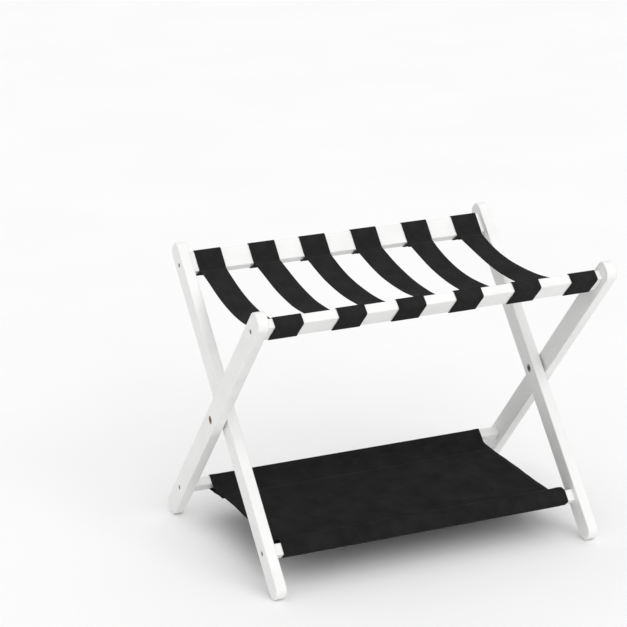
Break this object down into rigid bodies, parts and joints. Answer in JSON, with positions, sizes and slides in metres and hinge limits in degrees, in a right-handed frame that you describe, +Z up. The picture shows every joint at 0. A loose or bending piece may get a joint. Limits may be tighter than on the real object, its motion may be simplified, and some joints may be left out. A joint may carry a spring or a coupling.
{
  "type": "folding luggage rack",
  "caption": "White wooden folding luggage rack: crossed leg frames on pivot bolts, black webbing straps on top and a black cloth shelf below.",
  "frame": {"origin": "on the floor, under the middle of the open rack", "axes": "+X along the rack to its right, +Y to the back, +Z up. The outer frame's top rail is at the front (-Y), the inner frame's at the back (+Y)"},
  "size_m": [0.676, 0.4746, 0.522],
  "materials": {
    "painted_wood": "white satin paint over fine grain, rounded edges",
    "black_webbing": "flat woven polyester webbing, two inch, sewn loops",
    "black_canvas": "plain weave polyester cloth, hemmed, sewn sleeves",
    "bronze_bolt": "antique bronze plating, dull",
    "zinc_plate": "dull zinc plating",
    "beech_dowel": "raw beech, fluted",
    "nylon_washer": "moulded nylon"
  },
  "bodies": {
    "outer_frame": {"outer_leg_left": "painted_wood", "outer_leg_right": "painted_wood", "front_top_rail": "painted_wood", "front_top_rail_screw_left": "zinc_plate", "front_top_rail_dowel_left": "beech_dowel", "front_top_rail_screw_right": "zinc_plate", "front_top_rail_dowel_right": "beech_dowel", "rear_low_rail": "painted_wood", "rear_low_rail_screw_left": "zinc_plate", "rear_low_rail_dowel_left": "beech_dowel", "rear_low_rail_screw_right": "zinc_plate", "rear_low_rail_dowel_right": "beech_dowel", "front_top_rail_tack_1": "zinc_plate", "front_top_rail_tack_2": "zinc_plate", "front_top_rail_tack_3": "zinc_plate", "front_top_rail_tack_4": "zinc_plate", "front_top_rail_tack_5": "zinc_plate", "front_top_rail_tack_6": "zinc_plate", "pivot_bolt_left": "bronze_bolt", "pivot_nut_left": "zinc_plate", "pivot_washer_left": "nylon_washer", "pivot_bolt_right": "bronze_bolt", "pivot_nut_right": "zinc_plate", "pivot_washer_right": "nylon_washer", "strap_1": "black_webbing", "strap_2": "black_webbing", "strap_3": "black_webbing", "strap_4": "black_webbing", "strap_5": "black_webbing", "strap_6": "black_webbing", "shelf_cloth": "black_canvas"},
    "inner_frame": {"inner_leg_left": "painted_wood", "inner_leg_right": "painted_wood", "rear_top_rail": "painted_wood", "rear_top_rail_screw_left": "zinc_plate", "rear_top_rail_dowel_left": "beech_dowel", "rear_top_rail_screw_right": "zinc_plate", "rear_top_rail_dowel_right": "beech_dowel", "front_low_rail": "painted_wood", "front_low_rail_screw_left": "zinc_plate", "front_low_rail_dowel_left": "beech_dowel", "front_low_rail_screw_right": "zinc_plate", "front_low_rail_dowel_right": "beech_dowel", "rear_top_rail_tack_1": "zinc_plate", "rear_top_rail_tack_2": "zinc_plate", "rear_top_rail_tack_3": "zinc_plate", "rear_top_rail_tack_4": "zinc_plate", "rear_top_rail_tack_5": "zinc_plate", "rear_top_rail_tack_6": "zinc_plate"}
  },
  "joints": [
    {"name": "frame_fold", "type": "hinge", "parent": "outer_frame", "child": "inner_frame", "pos_m": [0, 0, 0.25988], "axis": [1, 0, 0], "range_deg": [0, 77], "deforming": ["strap_1", "strap_2", "strap_3", "strap_4", "strap_5", "strap_6", "shelf_cloth"]}
  ]
}
